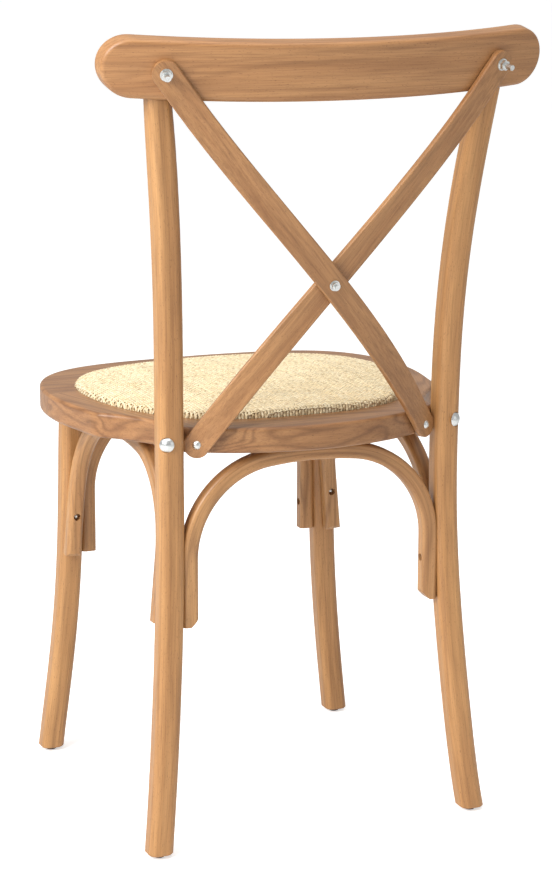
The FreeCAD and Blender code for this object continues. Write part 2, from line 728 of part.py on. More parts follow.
def main():
    os.makedirs("parts", exist_ok=True)
    nodes = {}

    crest = crest_board()
    tenons = [post_tenon(s) for _, s in SIDES]
    posts = [rear_post(s, crest) for _, s in SIDES]
    posts = [p.fuse(t).removeSplitter() for p, t in zip(posts, tenons)]
    legs = [front_leg(s) for _, s in SIDES]
    arches = brace_arches(posts, legs)

    bolts = [crest_fasteners(s) for _, s in SIDES]
    center = center_fasteners()
    feet = [foot_screw(s) for _, s in SIDES]
    seats = [post_bolt(s) for _, s in SIDES]
    under = board_screws()

    outer = cross_slat(1, SLAT_BUMP)
    inner = cross_slat(-1, -SLAT_BUMP)
    nodes["cross_slat_outer"] = outer.cut([bolts[0][3], center[3], feet[1][1]])
    nodes["cross_slat_inner"] = inner.cut([bolts[1][3], center[3], feet[0][1]])
    nodes["crest_rail"] = crest.cut(tenons + [b[3] for b in bolts])

    end_screws = [s for a in arches.values() for s in a[1]]
    crown_screws = [s for a in arches.values() for s in a[2]]
    for name, (arch, ends, crowns) in arches.items():
        nodes[name] = arch.cut(ends + crowns)

    pieces = rim_pieces()
    for name, piece in pieces.items():
        drilled = piece.cut([s[2] for s in seats] + [s[4] for s in seats])
        drilled = drilled.cut([f[1] for f in feet] + under + crown_screws)
        nodes[name] = drilled

    panel = seat_panel()
    panel["seat_board"] = panel["seat_board"].cut(under)
    nodes.update(panel)

    for i, (name, sign) in enumerate(SIDES):
        post = posts[i].cut([seats[i][2], seats[i][3], glide_pin_hole(sign, POST_LINE, back_y)])
        post = post.cut(bolts[i][3])
        nodes["rear_post_" + name] = post.cut(end_screws)
        leg = legs[i].cut(glide_pin_hole(sign, LEG_LINE, front_y))
        nodes["front_leg_" + name] = leg.cut(end_screws)
        nodes["glide_rear_" + name] = glide(sign, POST_LINE, back_y)
        nodes["glide_front_" + name] = glide(sign, LEG_LINE, front_y)

    nodes["rim_dowels"] = Part.Compound([d for _, s in SIDES for d in rim_dowels(s)])
    nodes["crest_bolts"] = Part.Compound([b[0] for b in bolts])
    nodes["crest_bolt_washers"] = Part.Compound([b[1] for b in bolts])
    nodes["crest_bolt_nuts"] = Part.Compound([b[2] for b in bolts])
    nodes["crossing_bolt"] = center[0]
    nodes["crossing_washer"] = center[1]
    nodes["crossing_nut"] = center[2]
    nodes["slat_foot_screws"] = Part.Compound([f[0] for f in feet])
    nodes["post_bolts"] = Part.Compound([s[0] for s in seats])
    nodes["post_barrel_nuts"] = Part.Compound([s[1] for s in seats])
    nodes["brace_end_screws"] = Part.Compound(end_screws)
    nodes["brace_crown_screws"] = Part.Compound(crown_screws)
    nodes["seat_board_screws"] = Part.Compound(under)

    for name, shape in nodes.items():
        solids = shape.Solids
        kept = solids[0] if len(solids) == 1 else Part.Compound(solids)
        kept.exportStep("parts/" + name + ".step")
        box = kept.BoundBox
        print(name, len(solids), kept.isValid(), round(kept.Volume),
              [round(v, 1) for v in (box.XMin, box.YMin, box.ZMin, box.XMax, box.YMax, box.ZMax)])


if __name__ == "__main__":
    main()
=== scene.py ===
import math
import random

import bpy
import numpy as np
from bpy.props import FloatProperty, FloatVectorProperty, IntProperty, PointerProperty
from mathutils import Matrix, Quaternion, Vector
from mathutils.bvhtree import BVHTree


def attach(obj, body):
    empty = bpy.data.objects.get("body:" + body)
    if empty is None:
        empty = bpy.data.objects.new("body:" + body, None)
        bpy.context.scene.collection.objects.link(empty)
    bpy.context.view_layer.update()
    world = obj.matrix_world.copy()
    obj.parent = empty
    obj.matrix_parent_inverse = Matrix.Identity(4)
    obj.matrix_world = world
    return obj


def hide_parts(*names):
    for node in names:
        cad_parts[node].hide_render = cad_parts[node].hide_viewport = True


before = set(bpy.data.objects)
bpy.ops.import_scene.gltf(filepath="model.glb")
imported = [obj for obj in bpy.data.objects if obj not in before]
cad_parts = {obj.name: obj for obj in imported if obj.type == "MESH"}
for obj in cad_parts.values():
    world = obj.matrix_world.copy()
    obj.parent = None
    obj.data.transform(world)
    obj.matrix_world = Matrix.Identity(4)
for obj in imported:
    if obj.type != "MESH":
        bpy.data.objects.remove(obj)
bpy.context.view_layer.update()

bl_info = {
    "name": "Cross Back Chair",
    "version": (1, 0, 0),
    "blender": (4, 5, 0),
    "location": "View3D > Sidebar > Chair",
    "description": "Finishes a bentwood cross back chair with a woven rattan seat",
    "category": "Add Mesh",
}

ROOT = "root"
GRAIN = "grain"
TONE = "tone"
STRAND = "strand"
FACING = "facing"

# Wood texture, repeats per metre along, across and through the grain
BAND_SCALE = (2.4, 60.0, 60.0)
RING_SCALE = (2.2, 26.0, 26.0)
STREAK_SCALE = (7.0, 230.0, 230.0)
FIBRE_SCALE = (22.0, 900.0, 900.0)
FLECK_SLIMNESS = 5.0
GRAIN_SHIFT = 9.0           # most that a piece's grain is moved, in metres
WOOD_TONES = (0.94, 1.05)

# Rattan texture along a strand, from strand to strand and from layer to layer
CLOUD_SCALE = (26.0, 3.1, 5.0)
DASH_SCALE = (190.0, 7.7, 5.0)
HAIR_SCALE = (900.0, 900.0, 900.0)
STRAND_TONES = (0.86, 1.10)

# Weave, in metres
PROBE_REACH = 0.5           # rays start this far to the side of the seat
PROBE_TOP = 0.6             # and this high above the floor
PROBE_LIFT = 0.006          # height of the side rays above the strands' feet
FOOT_LIFT = 0.0015          # strands end this far above the cover's lower edge
PROFILE_STEP = 0.0005
SHORTEST_PROFILE = 20       # points; a shorter line carries no strand
FLAT_SLOPE = 0.30           # where the skin is steeper, a strand no longer weaves
END_ROOM = 0.3              # part of a pitch kept free at a strand's ends
LAYER_GAP = 3.0             # texture distance between the two strand directions
SWAY = 0.00018
RIPPLE = 0.00010
# Sheet under the weave whose colour is painted shade for the gaps between strands
SHADE_BACKING_DEPTH = 0.0011
SHADE_BACKING_FOOT = 0.003        # the painted shade backing keeps its place below this height

# Bends of the wooden pieces, in metres
ARCH_HALF = 0.009
ARCH_CORNER_R = 0.105
ARCH_TOP_R = 0.420
CREST_R = 0.700
CREST_HALF_T = 0.012

# Stage, in metres
FLOOR_HALF = 60.0
AIM = (0.0, 0.0, 0.45)
FRAME_LONG_SIDE = 882.0     # pixels
SENSOR = 36.0               # millimetres


# Settings
class CHAIR_PG_wood(bpy.types.PropertyGroup):
    """Colours and grain of the lacquered beech."""

    light: FloatVectorProperty(name="Light wood", description="Colour of the pale early wood",
                               default=(0.510, 0.277, 0.112), subtype="COLOR", size=3)
    mid: FloatVectorProperty(name="Middle wood", description="Colour of most of the surface",
                             default=(0.385, 0.188, 0.070), subtype="COLOR", size=3)
    dark: FloatVectorProperty(name="Dark wood", description="Colour of the late wood and stain",
                              default=(0.150, 0.062, 0.022), subtype="COLOR", size=3)
    fleck: FloatVectorProperty(name="Fleck", description="Colour of the short ray flecks",
                               default=(0.095, 0.038, 0.015), subtype="COLOR", size=3)
    fleck_length: FloatProperty(name="Fleck length", description="Length of a ray fleck",
                                default=0.0035, subtype="DISTANCE", unit="LENGTH")
    seed: IntProperty(name="Seed", description="Start of the random tone of each piece", default=7)


class CHAIR_PG_seat(bpy.types.PropertyGroup):
    """Weave of the rattan seat."""

    pitch: FloatProperty(name="Strand pitch", description="Distance from strand to strand",
                         default=0.0036, subtype="DISTANCE", unit="LENGTH")
    width: FloatProperty(name="Strand width", description="Width of one strand",
                         default=0.0034, subtype="DISTANCE", unit="LENGTH")
    thickness: FloatProperty(name="Strand thickness", description="Thickness of one strand",
                             default=0.0013, subtype="DISTANCE", unit="LENGTH")
    rise: FloatProperty(name="Weave rise", description="Lift of a strand over its neighbour",
                        default=0.0006, subtype="DISTANCE", unit="LENGTH")
    straw: FloatVectorProperty(name="Straw", description="Main colour of the strands",
                               default=(0.740, 0.590, 0.350), subtype="COLOR", size=3)
    pale: FloatVectorProperty(name="Pale straw", description="Colour of the lightest strands",
                              default=(0.850, 0.740, 0.520), subtype="COLOR", size=3)
    tan: FloatVectorProperty(name="Tan", description="Colour of flecks and dark strands",
                             default=(0.370, 0.240, 0.110), subtype="COLOR", size=3)
    seed: IntProperty(name="Seed", description="Start of the strands' random tones", default=11)


class CHAIR_PG_metal(bpy.types.PropertyGroup):
    """Zinc plated fasteners."""

    zinc: FloatVectorProperty(name="Zinc", description="Colour of the plating",
                              default=(0.800, 0.815, 0.800), subtype="COLOR", size=3)


class CHAIR_PG_stage(bpy.types.PropertyGroup):
    """Floor, light and camera."""

    floor: FloatVectorProperty(name="Floor", description="Colour of the floor",
                               default=(0.900, 0.900, 0.895), subtype="COLOR", size=3)
    glow: FloatProperty(name="Floor glow", description="Brightness that only the camera sees",
                        default=0.56)
    sky: FloatProperty(name="Sky strength", description="Light from all round", default=0.50)
    key: FloatProperty(name="Key light", description="Power of the large soft light",
                       default=105.0, subtype="POWER", unit="POWER")
    fill: FloatProperty(name="Fill light", description="Power of the weak light on the right",
                        default=5.0, subtype="POWER", unit="POWER")
    top: FloatProperty(name="Top light", description="Power of the light overhead",
                       default=30.0, subtype="POWER", unit="POWER")
    azimuth: FloatProperty(name="Azimuth", description="Camera direction round the chair",
                           default=math.radians(156.93), subtype="ANGLE", unit="ROTATION")
    elevation: FloatProperty(name="Elevation", description="Camera direction above the floor",
                             default=math.radians(12.83), subtype="ANGLE", unit="ROTATION")
    roll: FloatProperty(name="Roll", description="Turn of the camera about its own view",
                        default=math.radians(0.17), subtype="ANGLE", unit="ROTATION")
    place: FloatVectorProperty(name="Camera place", description="Where the camera stands",
                               default=(1.1020, 2.6378, 1.0620), subtype="XYZ", size=3)
    focal: FloatProperty(name="Focal length in pixels", description="For the 882 pixel frame",
                         default=2565.0)


# Node helpers
def add(tree, kind, values=None, **settings):
    """New node with its settings and the values of its inputs."""
    node = tree.nodes.new(kind)
    for key, value in settings.items():
        setattr(node, key, value)
    for key, value in (values or {}).items():
        node.inputs[key].default_value = value
    return node


def join(tree, source, target):
    """Link an output to an input."""
    tree.links.new(source, target)


def new_tree(name):
    """Material with an empty tree that holds a surface shader and its output."""
    material = bpy.data.materials.new(name)
    material.use_nodes = True
    tree = material.node_tree
    tree.nodes.clear()
    shader = add(tree, "ShaderNodeBsdfPrincipled")
    out = add(tree, "ShaderNodeOutputMaterial")
    join(tree, shader.outputs["BSDF"], out.inputs["Surface"])
    return material, tree, shader


def stretched(tree, source, scale):
    """Coordinates multiplied by a scale along, across and through the grain."""
    node = add(tree, "ShaderNodeVectorMath", {1: scale}, operation="MULTIPLY")
    join(tree, source, node.inputs[0])
    return node.outputs["Vector"]


def noise(tree, vector, scale=1.0, detail=2.0, rough=0.5, warp=0.0):
    """Cloudy pattern over a vector."""
    node = add(tree, "ShaderNodeTexNoise",
               {"Scale": scale, "Detail": detail, "Roughness": rough, "Distortion": warp})
    join(tree, vector, node.inputs["Vector"])
    return node.outputs["Fac"]


def ramp(tree, factor, low, high):
    """Map a factor so that low gives 0 and high gives 1."""
    node = add(tree, "ShaderNodeMapRange",
               {"From Min": low, "From Max": high, "To Min": 0.0, "To Max": 1.0})
    join(tree, factor, node.inputs["Value"])
    return node.outputs["Result"]


def math_node(tree, operation, a, b):
    """Result of a sum on two numbers or sockets."""
    node = add(tree, "ShaderNodeMath", operation=operation)
    for i, value in enumerate((a, b)):
        if isinstance(value, (int, float)):
            node.inputs[i].default_value = value
        else:
            join(tree, value, node.inputs[i])
    return node.outputs["Value"]


def mix(tree, factor, a, b, blend="MIX"):
    """Mix two colours; a and b are colours or sockets."""
    node = add(tree, "ShaderNodeMix", data_type="RGBA", blend_type=blend)
    if isinstance(factor, (int, float)):
        node.inputs["Factor"].default_value = factor
    else:
        join(tree, factor, node.inputs["Factor"])
    colours = [s for s in node.inputs if s.type == "RGBA"]
    for socket, value in zip(colours, (a, b)):
        if hasattr(value, "is_linked"):
            join(tree, value, socket)
        else:
            socket.default_value = (*value, 1.0)
    return [s for s in node.outputs if s.type == "RGBA"][0]


def bump(tree, shader, height, strength, distance):
    """Raise and lower the shading by a height."""
    node = add(tree, "ShaderNodeBump", {"Strength": strength, "Distance": distance})
    join(tree, height, node.inputs["Height"])
    join(tree, node.outputs["Normal"], shader.inputs["Normal"])


# Materials
def beech(name, tint=(1.0, 1.0, 1.0), figure=0.34):
    """Lacquered beech: soft bands, fine fibres and short dark ray flecks along the grain."""
    wood = bpy.context.scene.chair_wood
    material, tree, shader = new_tree(name)
    grain = add(tree, "ShaderNodeAttribute", attribute_name=GRAIN).outputs["Vector"]
    tone = add(tree, "ShaderNodeAttribute", attribute_name=TONE).outputs["Fac"]

    def tinted(colour):
        return [c * t for c, t in zip(colour, tint)]

    bands = noise(tree, stretched(tree, grain, BAND_SCALE), detail=3.0, rough=0.6)
    rings = noise(tree, stretched(tree, grain, RING_SCALE), detail=1.5, warp=0.3)
    lines = math_node(tree, "PINGPONG", math_node(tree, "MULTIPLY", rings, 11.0), 0.5)
    fibre = noise(tree, stretched(tree, grain, FIBRE_SCALE), detail=3.0, rough=0.6)
    streak = noise(tree, stretched(tree, grain, STREAK_SCALE), detail=2.0, rough=0.6)
    per_metre = 1.0 / wood.fleck_length
    fine = (per_metre, per_metre * FLECK_SLIMNESS, per_metre * FLECK_SLIMNESS)
    flecks = noise(tree, stretched(tree, grain, fine), detail=1.0)

    colour = mix(tree, ramp(tree, bands, 0.30, 0.70), tinted(wood.light), tinted(wood.mid))
    ring_part = math_node(tree, "MULTIPLY", ramp(tree, lines, 0.30, 0.02), figure)
    colour = mix(tree, ring_part, colour, tinted(wood.dark))
    streak_part = math_node(tree, "MULTIPLY", ramp(tree, streak, 0.50, 0.72), 0.34)
    colour = mix(tree, streak_part, colour, tinted(wood.dark))
    fibre_part = math_node(tree, "MULTIPLY", ramp(tree, fibre, 0.46, 0.74), 0.40)
    colour = mix(tree, fibre_part, colour, tinted(wood.dark))
    fleck_part = math_node(tree, "MULTIPLY", ramp(tree, flecks, 0.66, 0.74), 0.55)
    colour = mix(tree, fleck_part, colour, tinted(wood.fleck))
    shift = add(tree, "ShaderNodeHueSaturation")
    join(tree, colour, shift.inputs["Color"])
    join(tree, tone, shift.inputs["Value"])
    join(tree, shift.outputs["Color"], shader.inputs["Base Color"])

    rough = math_node(tree, "MULTIPLY_ADD", fibre, 0.22)
    rough.node.inputs[2].default_value = 0.30
    join(tree, rough, shader.inputs["Roughness"])
    shader.inputs["Specular IOR Level"].default_value = 0.42
    shader.inputs["Coat Weight"].default_value = 0.18
    shader.inputs["Coat Roughness"].default_value = 0.32
    height = math_node(tree, "SUBTRACT", fibre, fleck_part)
    bump(tree, shader, height, 0.16, 0.0003)
    return material


def plywood():
    """Raw plywood with thin plies on its edge."""
    material, tree, shader = new_tree("seat_plywood")
    place = add(tree, "ShaderNodeTexCoord").outputs["Object"]
    plies = add(tree, "ShaderNodeTexWave", {"Scale": 110.0, "Distortion": 0.4},
                bands_direction="Z")
    join(tree, place, plies.inputs["Vector"])
    fibre = noise(tree, stretched(tree, place, (500.0, 16.0, 60.0)), detail=3.0)
    colour = mix(tree, fibre, (0.56, 0.36, 0.19), (0.40, 0.24, 0.12))
    part = math_node(tree, "MULTIPLY", plies.outputs["Fac"], 0.25)
    colour = mix(tree, part, colour, (0.27, 0.15, 0.07))
    join(tree, colour, shader.inputs["Base Color"])
    shader.inputs["Roughness"].default_value = 0.75
    bump(tree, shader, fibre, 0.2, 0.0003)
    return material


def rattan():
    """Split rattan strand, straw coloured with tan flecks and a slight gloss."""
    seat = bpy.context.scene.chair_seat
    material, tree, shader = new_tree("rattan_strand")
    along = add(tree, "ShaderNodeAttribute", attribute_name=STRAND).outputs["Vector"]
    tone = add(tree, "ShaderNodeAttribute", attribute_name=TONE).outputs["Fac"]
    place = add(tree, "ShaderNodeTexCoord").outputs["Object"]
    slow = noise(tree, stretched(tree, along, CLOUD_SCALE), detail=2.0)
    dash = noise(tree, stretched(tree, along, DASH_SCALE), detail=2.0, rough=0.6)
    hair = noise(tree, stretched(tree, place, HAIR_SCALE), detail=1.0)
    colour = mix(tree, ramp(tree, slow, 0.34, 0.66), seat.pale, seat.straw)
    tan_part = math_node(tree, "MULTIPLY", ramp(tree, dash, 0.52, 0.70), 0.72)
    colour = mix(tree, tan_part, colour, seat.tan)
    hair_part = math_node(tree, "MULTIPLY", ramp(tree, hair, 0.55, 0.75), 0.22)
    colour = mix(tree, hair_part, colour, seat.tan)
    shift = add(tree, "ShaderNodeHueSaturation")
    join(tree, colour, shift.inputs["Color"])
    join(tree, tone, shift.inputs["Value"])
    join(tree, shift.outputs["Color"], shader.inputs["Base Color"])
    shader.inputs["Roughness"].default_value = 0.52
    shader.inputs["Specular IOR Level"].default_value = 0.35
    bump(tree, shader, hair, 0.25, 0.0002)
    return material


def rattan_shadow():
    """Backing seen through the weave; its dark brown is painted shade in the gaps between strands."""
    material, tree, shader = new_tree("rattan_painted_shade_backing")
    place = add(tree, "ShaderNodeTexCoord").outputs["Object"]
    cloud = noise(tree, place, scale=420.0, detail=2.0)
    # painted shade: the dark brown that shows in the gaps between strands
    colour = mix(tree, cloud, (0.60, 0.45, 0.25), (0.42, 0.29, 0.14))
    join(tree, colour, shader.inputs["Base Color"])
    shader.inputs["Roughness"].default_value = 0.8
    bump(tree, shader, cloud, 0.4, 0.0004)
    return material


def fibre_pad():
    """Pressed fibre padding."""
    material, tree, shader = new_tree("seat_fibre_pad")
    place = add(tree, "ShaderNodeTexCoord").outputs["Object"]
    felt = noise(tree, place, scale=900.0, detail=4.0, rough=0.7)
    colour = mix(tree, felt, (0.55, 0.45, 0.30), (0.36, 0.28, 0.18))
    join(tree, colour, shader.inputs["Base Color"])
    shader.inputs["Roughness"].default_value = 0.95
    bump(tree, shader, felt, 0.5, 0.0006)
    return material


def zinc():
    """Bright zinc plate with a faint cloudy spangle."""
    metal = bpy.context.scene.chair_metal
    material, tree, shader = new_tree("zinc_plate")
    place = add(tree, "ShaderNodeTexCoord").outputs["Object"]
    cloud = noise(tree, place, scale=650.0, detail=3.0)
    dark = [c * 0.84 for c in metal.zinc]
    colour = mix(tree, cloud, metal.zinc, dark)
    join(tree, colour, shader.inputs["Base Color"])
    shader.inputs["Metallic"].default_value = 1.0
    rough = math_node(tree, "MULTIPLY_ADD", cloud, 0.22)
    rough.node.inputs[2].default_value = 0.18
    join(tree, rough, shader.inputs["Roughness"])
    bump(tree, shader, cloud, 0.08, 0.0002)
    return material


def glide_plastic():
    """Dark brown moulded plastic."""
    material, tree, shader = new_tree("glide_plastic_brown")
    place = add(tree, "ShaderNodeTexCoord").outputs["Object"]
    speck = noise(tree, place, scale=1400.0, detail=2.0)
    colour = mix(tree, speck, (0.052, 0.034, 0.028), (0.030, 0.020, 0.017))
    join(tree, colour, shader.inputs["Base Color"])
    shader.inputs["Roughness"].default_value = 0.55
    bump(tree, shader, speck, 0.15, 0.0002)
    return material


# Piece helpers
def give(piece, nodes):
    """Ride on the chair and stand for the nodes."""
    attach(piece, ROOT)
    if nodes:
        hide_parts(*nodes)


def copy_of(node, name, material):
    """A copy of a node's mesh as a new piece with one material."""
    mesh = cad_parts[node].data.copy()
    mesh.name = name
    mesh.materials.clear()
    mesh.materials.append(material)
    piece = bpy.data.objects.new(name, mesh)
    bpy.context.scene.collection.objects.link(piece)
    return piece


def points_of(mesh):
    """The mesh's points as rows of x, y and z."""
    co = np.empty(len(mesh.vertices) * 3, np.float32)
    mesh.vertices.foreach_get("co", co)
    return co.reshape(-1, 3).astype(float)


def set_grain(piece, grain, tone):
    """Store the grain coordinates and the piece's tone on its points."""
    mesh = piece.data
    field = mesh.attributes.new(GRAIN, "FLOAT_VECTOR", "POINT")
    field.data.foreach_set("vector", grain.astype(np.float32).ravel())
    level = mesh.attributes.new(TONE, "FLOAT", "POINT")
    level.data.foreach_set("value", np.full(len(mesh.vertices), tone, np.float32))


def stick_grain(co):
    """Grain along an upright bent stick, measured from its curved centre line."""
    z = co[:, 2]
    cx = np.polyval(np.polyfit(z, co[:, 0], 5), z)
    cy = np.polyval(np.polyfit(z, co[:, 1], 5), z)
    return np.stack([z, co[:, 0] - cx, co[:, 1] - cy], 1)


def arch_grain(co, axis):
    """Grain round an arch: up one stem, over the crown and down the other."""
    corner_r, top_r = ARCH_CORNER_R, ARCH_TOP_R
    half = ARCH_HALF
    span = co[:, axis]
    centre = (span.max() + span.min()) / 2
    a = (span.max() - span.min()) / 2 - half
    h = span - centre
    z = co[:, 2]
    top_z = z.max() - top_r - half
    cx = a - corner_r
    cz = top_z + math.sqrt((top_r - corner_r) ** 2 - cx ** 2)
    lean = math.atan2(cx, cz - top_z)
    flank = np.abs(h)
    along = np.empty(len(co))
    off = np.empty(len(co))
    stem = z < cz
    angle = np.arctan2(z - cz, flank - cx)
    bend = ~stem & (angle < math.pi / 2 - lean)
    crown = ~stem & ~bend
    theta = np.arctan2(flank, z - top_z)
    along[crown] = (top_r * theta)[crown]
    off[crown] = (np.hypot(flank, z - top_z) - top_r)[crown]
    end = top_r * lean
    along[bend] = (end + corner_r * (math.pi / 2 - lean - angle))[bend]
    off[bend] = (np.hypot(flank - cx, z - cz) - corner_r)[bend]
    knee = end + corner_r * (math.pi / 2 - lean)
    along[stem] = (knee + cz - z)[stem]
    off[stem] = (flank - a)[stem]
    side = co[:, 1 - axis]
    return np.stack([along * np.sign(h), off, side - side.mean()], 1)


def crest_grain(co, radius=CREST_R):
    """Grain round the curve of the crest."""
    centre = co[:, 1].max() - CREST_HALF_T - radius
    reach = np.hypot(co[:, 0], co[:, 1] - centre)
    around = np.arctan2(co[:, 0], co[:, 1] - centre)
    return np.stack([around * radius, co[:, 2], reach - radius], 1)


def flat_grain(co, direction):
    """Grain along a level direction."""
    along = Vector(direction).normalized()
    across = Vector((-along.y, along.x, 0.0))
    return np.stack([co @ np.array(along), co @ np.array(across), co[:, 2]], 1)


def strip_grain(co):
    """Grain along a long strip, from the directions of its own shape."""
    middle = co.mean(0)
    axes = np.linalg.svd(co - middle, full_matrices=False)[2]
    axes = [a * np.sign(a[np.argmax(np.abs(a))]) for a in axes]
    return (co - middle) @ np.array(axes).T


def finish_wood(node, material, grain_of, rng):
    """Copy a wooden node, lay its grain and let the copy stand for it."""
    piece = copy_of(node, "beech_" + node, material)
    grain = grain_of(points_of(piece.data))
    shift = np.array([rng.uniform(0.0, GRAIN_SHIFT) for _ in range(3)])
    set_grain(piece, grain + shift, rng.uniform(*WOOD_TONES))
    give(piece, [node])
    return piece


class ChairOperator(bpy.types.Operator):
    """Shared base: every chair step can be undone."""

    bl_options = {"REGISTER", "UNDO"}


class CHAIR_OT_posts(ChairOperator):
    """Finish the rear posts and the front legs."""

    bl_idname = "chair.posts"
    bl_label = "Posts and Legs"

    def execute(self, context):
        rng = random.Random(context.scene.chair_wood.seed)
        honey = beech("beech_honey", (1.12, 1.08, 1.0), figure=0.14)
        for node in ("rear_post_left", "rear_post_right", "front_leg_left", "front_leg_right"):
            finish_wood(node, honey, stick_grain, rng)
        return {"FINISHED"}


class CHAIR_OT_arches(ChairOperator):
    """Finish the four brace arches."""

    bl_idname = "chair.arches"
    bl_label = "Brace Arches"

    def execute(self, context):
        rng = random.Random(context.scene.chair_wood.seed + 1)
        straw = beech("beech_streaked", (1.12, 1.12, 1.12), figure=0.40)
        for node, axis in (("brace_arch_rear", 0), ("brace_arch_front", 0),
                           ("brace_arch_left", 1), ("brace_arch_right", 1)):
            finish_wood(node, straw, lambda co, a=axis: arch_grain(co, a), rng)
        return {"FINISHED"}


class CHAIR_OT_back(ChairOperator):
    """Finish the crest rail and the two cross slats."""

    bl_idname = "chair.back"
    bl_label = "Crest and Slats"

    def execute(self, context):
        rng = random.Random(context.scene.chair_wood.seed + 2)
        russet = beech("beech_russet", (0.93, 0.88, 0.88), figure=0.20)
        finish_wood("crest_rail", russet, crest_grain, rng)
        for node in ("cross_slat_outer", "cross_slat_inner"):
            finish_wood(node, russet, strip_grain, rng)
        return {"FINISHED"}


class CHAIR_OT_rim(ChairOperator):
    """Finish the four pieces of the seat rim and their dowels."""

    bl_idname = "chair.rim"
    bl_label = "Seat Rim"

    def execute(self, context):
        rng = random.Random(context.scene.chair_wood.seed + 3)
        umber = beech("beech_umber", (0.80, 0.74, 0.74), figure=0.5)
        runs = {
            "seat_rim_front": (1.0, 0.0, 0.0),
            "seat_rim_back": (1.0, 0.0, 0.0),
            "seat_rim_corner_left": (0.35, -1.0, 0.0),
            "seat_rim_corner_right": (-0.35, -1.0, 0.0),
            "rim_dowels": (0.0, 1.0, 0.0),
        }
        for node, run in runs.items():
            finish_wood(node, umber, lambda co, r=run: flat_grain(co, r), rng)
        return {"FINISHED"}


# Woven seat
def skin_profile(tree, at, axis, low_z, step=PROFILE_STEP):
    """Points over the seat skin in the plane where one level axis equals at."""
    other = 1 - axis

    def place(level, z):
        p = Vector((0.0, 0.0, z))
        p[axis] = at
        p[other] = level
        return p

    inward = Vector((0.0, 0.0, 0.0))
    ends = []
    for sign in (-1.0, 1.0):
        inward[other] = -sign
        hit = tree.ray_cast(place(sign * PROBE_REACH, low_z + PROBE_LIFT), inward.copy())
        if hit[0] is None:
            return None
        ends.append(hit[0][other])
    low, high = ends
    count = max(2, int((high - low) / step))
    top = []
    for i in range(count + 1):
        level = low + (high - low) * i / count
        level = min(max(level, low + 1e-5), high - 1e-5)
        hit = tree.ray_cast(place(level, PROBE_TOP), Vector((0.0, 0.0, -1.0)))
        if hit[0] is not None:
            top.append(hit[0])
    if len(top) < SHORTEST_PROFILE:
        return None
    climb = np.arange(low_z, top[0].z, step)
    fall = np.arange(low_z, top[-1].z, step)[::-1]
    line = [place(low, z) for z in climb] + top + [place(high, z) for z in fall]
    return np.array([list(p) for p in line])


def strand_points(line, axis, crossings, rise, phase):
    """Points along one strand: over and under at each crossing, then on down the edge."""
    other = 1 - axis
    steps = np.linalg.norm(np.diff(line, axis=0), axis=1)
    length = np.concatenate([[0.0], np.cumsum(steps)])
    slope = np.gradient(line[:, 2], length)
    flat = np.abs(slope) < FLAT_SLOPE
    inside = length[flat]
    first, last = inside[0], inside[-1]
    levels = line[:, other]
    mid = [(j, np.interp(c, levels[flat], length[flat])) for j, c in enumerate(crossings)
           if levels[flat][0] < c < levels[flat][-1]]
    pitch = crossings[1] - crossings[0]
    stops = []
    j0, s0 = mid[0]
    j1, s1 = mid[-1]
    s, j = s0 - pitch, j0 - 1
    while s > END_ROOM * pitch:
        stops.append((j, s))
        s -= pitch
        j -= 1
    stops = stops[::-1] + mid
    s, j = s1 + pitch, j1 + 1
    while s < length[-1] - END_ROOM * pitch:
        stops.append((j, s))
        s += pitch
        j += 1
    marks, lifts = [0.0], [0.0]
    for n, (j, s) in enumerate(stops):
        marks.append(s)
        lifts.append(rise if (j + phase) % 2 else -rise)
        if n + 1 < len(stops):
            marks.append((s + stops[n + 1][1]) / 2)
            lifts.append(0.0)
    marks.append(length[-1])
    lifts.append(0.0)
    at = np.stack([np.interp(marks, length, line[:, k]) for k in range(3)], 1)
    tangent = np.stack([np.interp(marks, length, np.gradient(line[:, k], length))
                        for k in range(3)], 1)
    tangent /= np.linalg.norm(tangent, axis=1)[:, None]
    out = np.zeros_like(at)
    out[:, other] = -tangent[:, 2]
    out[:, 2] = tangent[:, other]
    return at, out, np.array(lifts), np.array(marks)


